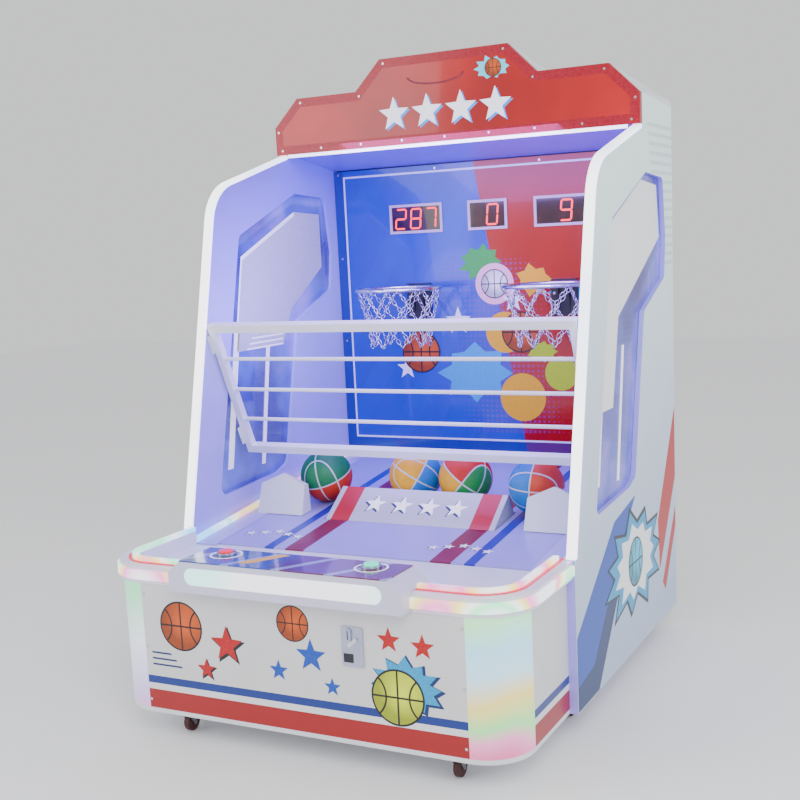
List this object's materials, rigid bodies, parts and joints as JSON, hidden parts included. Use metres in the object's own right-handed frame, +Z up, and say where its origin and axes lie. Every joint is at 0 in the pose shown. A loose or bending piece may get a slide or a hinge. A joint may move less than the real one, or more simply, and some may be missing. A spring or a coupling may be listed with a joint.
{
  "type": "basketball hoop machine",
  "caption": "Free-standing arcade basketball cabinet with two hoops, safety rail, sloped ball deck with drop gate, lit marquee, score displays and start console.",
  "frame": {"origin": "on the floor under the middle of the overall box", "axes": "+X to the player's right, -Y towards the player, +Z up"},
  "size_m": [1.5, 1.752, 2.279],
  "materials": {
    "board": "plywood, sealed edges",
    "frame_steel": "black powder coat",
    "printed_panel": "printed light grey panel with blue and red bands",
    "corner_acrylic": "translucent lit acrylic",
    "white_shell": "satin white",
    "light_strip": "lit diffuser strip",
    "deck_sheet": "lavender white sheet with blue and crimson stripes",
    "gate_sheet": "light grey with red stripes",
    "drive_steel": "machined",
    "side_print_left": "white, printed outside",
    "side_print_right": "white, printed outside",
    "window_acrylic": "clear acrylic with printed band",
    "back_board": "dark laminated board",
    "door_board": "dark laminated board with steel leaves",
    "hinge_steel": "bright zinc",
    "lock_chrome": "polished",
    "black_plastic": "moulded",
    "marquee_acrylic": "translucent red, lit, darker border",
    "soffit_sheet": "satin white under purple light",
    "backboard_print": "printed, blue left and red right, thin white border",
    "display_black": "dark window in a pale frame",
    "ring_chrome": "polished bar",
    "bracket_black": "black powder coat",
    "chain_chrome": "link chain",
    "rail_white": "white powder coat on aluminium",
    "console_lens": "lit diffuser",
    "console_print": "printed acrylic, blue to crimson",
    "button_ring": "plated bezel and barrel",
    "button_red": "lit red cap",
    "button_green": "lit green cap",
    "coin_steel": "plate with blue label",
    "coin_flap": "dark flap",
    "zinc_sheet": "zinc plated sheet",
    "electronics": "power supply case and board",
    "fork_steel": "pressed zinc steel",
    "wheel_rubber": "dark red rubber tread",
    "pedal_steel": "brake pedal",
    "ball_green_red": "pebbled rubber, green over orange red",
    "ball_yellow_blue": "pebbled rubber, yellow over blue",
    "ball_red_green": "pebbled rubber, red, green and yellow",
    "ball_blue_red": "pebbled rubber, blue and orange red",
    "screw_steel": "small domed heads"
  },
  "bodies": {
    "cabinet": {"base_board": "board", "base_frame": "frame_steel", "front_panel": "printed_panel", "lower_side_panels": "printed_panel", "corner_lights": "corner_acrylic", "rim_shelf": "white_shell", "rim_lights": "light_strip", "play_deck": "deck_sheet", "deck_kerbs": "deck_sheet", "side_blocks": "white_shell", "gate_drive": "drive_steel", "side_panel_left": "side_print_left", "side_panel_right": "side_print_right", "side_windows": "window_acrylic", "edge_lights": "light_strip", "back_panel": "back_board", "door_hinges": "hinge_steel", "power_inlet": "black_plastic", "roof_panel": "white_shell", "marquee_panel": "marquee_acrylic", "soffit_panel": "soffit_sheet", "speakers": "black_plastic", "backboard": "backboard_print", "score_displays": "display_black", "hoop_rings": "ring_chrome", "hoop_brackets": "bracket_black", "chain_net_left": "chain_chrome", "chain_net_right": "chain_chrome", "safety_rail": "rail_white", "console_housing": "white_shell", "console_lens": "console_lens", "console_plate": "console_print", "button_housings": "button_ring", "coin_plate": "coin_steel", "coin_mechanism": "zinc_sheet", "control_electronics": "electronics", "caster_mounts": "zinc_sheet", "panel_screws": "screw_steel"},
    "start_button_left": {"start_button_left": "button_red"},
    "start_button_right": {"start_button_right": "button_green"},
    "coin_reject_lever": {"coin_reject_lever": "coin_steel"},
    "coin_return_flap": {"coin_return_flap": "coin_flap"},
    "ball_gate": {"ball_gate": "gate_sheet"},
    "service_door": {"service_door": "door_board"},
    "door_lock": {"door_lock": "lock_chrome"},
    "caster_fork_front_left": {"caster_fork_front_left": "fork_steel"},
    "caster_wheel_front_left": {"caster_wheel_front_left": "wheel_rubber"},
    "brake_pedal_front_left": {"brake_pedal_front_left": "pedal_steel"},
    "caster_fork_front_right": {"caster_fork_front_right": "fork_steel"},
    "caster_wheel_front_right": {"caster_wheel_front_right": "wheel_rubber"},
    "brake_pedal_front_right": {"brake_pedal_front_right": "pedal_steel"},
    "caster_fork_middle_left": {"caster_fork_middle_left": "fork_steel"},
    "caster_wheel_middle_left": {"caster_wheel_middle_left": "wheel_rubber"},
    "caster_fork_middle_right": {"caster_fork_middle_right": "fork_steel"},
    "caster_wheel_middle_right": {"caster_wheel_middle_right": "wheel_rubber"},
    "caster_wheels_rear": {"caster_wheels_rear": "wheel_rubber"},
    "ball_1": {"ball_1": "ball_green_red"},
    "ball_2": {"ball_2": "ball_yellow_blue"},
    "ball_3": {"ball_3": "ball_red_green"},
    "ball_4": {"ball_4": "ball_blue_red"}
  },
  "joints": [
    {"name": "start_button_left_press", "type": "slide", "parent": "cabinet", "child": "start_button_left", "axis": [0, 0, -1], "range_m": [0, 0.0035], "stiffness_N_per_m": 600, "springref_m": -0.003},
    {"name": "start_button_right_press", "type": "slide", "parent": "cabinet", "child": "start_button_right", "axis": [0, 0, -1], "range_m": [0, 0.0035], "stiffness_N_per_m": 600, "springref_m": -0.003},
    {"name": "coin_reject_lever_turn", "type": "hinge", "parent": "cabinet", "child": "coin_reject_lever", "pos_m": [0.223, -0.816, 0.431], "axis": [0, -1, 0], "range_deg": [0, 20], "stiffness_Nm_per_rad": 0.03, "springref_deg": -20.05},
    {"name": "coin_return_flap_swing", "type": "hinge", "parent": "cabinet", "child": "coin_return_flap", "pos_m": [0.195, -0.816, 0.383], "axis": [1, 0, 0], "range_deg": [0, 60]},
    {"name": "ball_gate_drop", "type": "hinge", "parent": "cabinet", "child": "ball_gate", "pos_m": [0, -0.012, 0.55286], "axis": [1, 0, 0], "range_deg": [-28, 0]},
    {"name": "service_door_swing", "type": "hinge", "parent": "cabinet", "child": "service_door", "pos_m": [-0.305, 0.871, 0.61], "axis": [0, 0, 1], "range_deg": [0, 110]},
    {"name": "door_lock_turn", "type": "hinge", "parent": "service_door", "child": "door_lock", "pos_m": [0.266, 0.866, 0.5], "axis": [0, -1, 0], "range_deg": [0, 90]},
    {"name": "caster_fork_front_left_swivel", "type": "hinge", "parent": "cabinet", "child": "caster_fork_front_left", "pos_m": [-0.495, -0.735, 0.081], "axis": [0, 0, 1], "continuous": true},
    {"name": "caster_wheel_front_left_spin", "type": "hinge", "parent": "caster_fork_front_left", "child": "caster_wheel_front_left", "pos_m": [-0.495, -0.709, 0.0315], "axis": [1, 0, 0], "continuous": true},
    {"name": "brake_pedal_front_left_press", "type": "hinge", "parent": "caster_fork_front_left", "child": "brake_pedal_front_left", "pos_m": [-0.495, -0.733, 0.071], "axis": [-1, 0, 0], "range_deg": [0, 6], "stiffness_Nm_per_rad": 0.5, "springref_deg": -8.59},
    {"name": "caster_fork_front_right_swivel", "type": "hinge", "parent": "cabinet", "child": "caster_fork_front_right", "pos_m": [0.495, -0.735, 0.081], "axis": [0, 0, 1], "continuous": true},
    {"name": "caster_wheel_front_right_spin", "type": "hinge", "parent": "caster_fork_front_right", "child": "caster_wheel_front_right", "pos_m": [0.495, -0.709, 0.0315], "axis": [1, 0, 0], "continuous": true},
    {"name": "brake_pedal_front_right_press", "type": "hinge", "parent": "caster_fork_front_right", "child": "brake_pedal_front_right", "pos_m": [0.495, -0.733, 0.071], "axis": [-1, 0, 0], "range_deg": [0, 6], "stiffness_Nm_per_rad": 0.5, "springref_deg": -8.59},
    {"name": "caster_fork_middle_left_swivel", "type": "hinge", "parent": "cabinet", "child": "caster_fork_middle_left", "pos_m": [-0.65, -0.184, 0.081], "axis": [0, 0, 1], "continuous": true},
    {"name": "caster_wheel_middle_left_spin", "type": "hinge", "parent": "caster_fork_middle_left", "child": "caster_wheel_middle_left", "pos_m": [-0.65, -0.158, 0.0315], "axis": [1, 0, 0], "continuous": true},
    {"name": "caster_fork_middle_right_swivel", "type": "hinge", "parent": "cabinet", "child": "caster_fork_middle_right", "pos_m": [0.65, -0.184, 0.081], "axis": [0, 0, 1], "continuous": true},
    {"name": "caster_wheel_middle_right_spin", "type": "hinge", "parent": "caster_fork_middle_right", "child": "caster_wheel_middle_right", "pos_m": [0.65, -0.158, 0.0315], "axis": [1, 0, 0], "continuous": true},
    {"name": "caster_wheels_rear_spin", "type": "hinge", "parent": "cabinet", "child": "caster_wheels_rear", "pos_m": [0, 0.78, 0.0315], "axis": [1, 0, 0], "continuous": true},
    {"name": "ball_1_roll", "type": "slide", "parent": "cabinet", "child": "ball_1", "axis": [0, 0.9945, 0.1044], "range_m": [0, 0.49]},
    {"name": "ball_2_roll", "type": "slide", "parent": "cabinet", "child": "ball_2", "axis": [0, 0.9945, 0.1044], "range_m": [0, 0.49]},
    {"name": "ball_3_roll", "type": "slide", "parent": "cabinet", "child": "ball_3", "axis": [0, 0.9945, 0.1044], "range_m": [0, 0.49]},
    {"name": "ball_4_roll", "type": "slide", "parent": "cabinet", "child": "ball_4", "axis": [0, 0.9945, 0.1044], "range_m": [0, 0.49]}
  ]
}
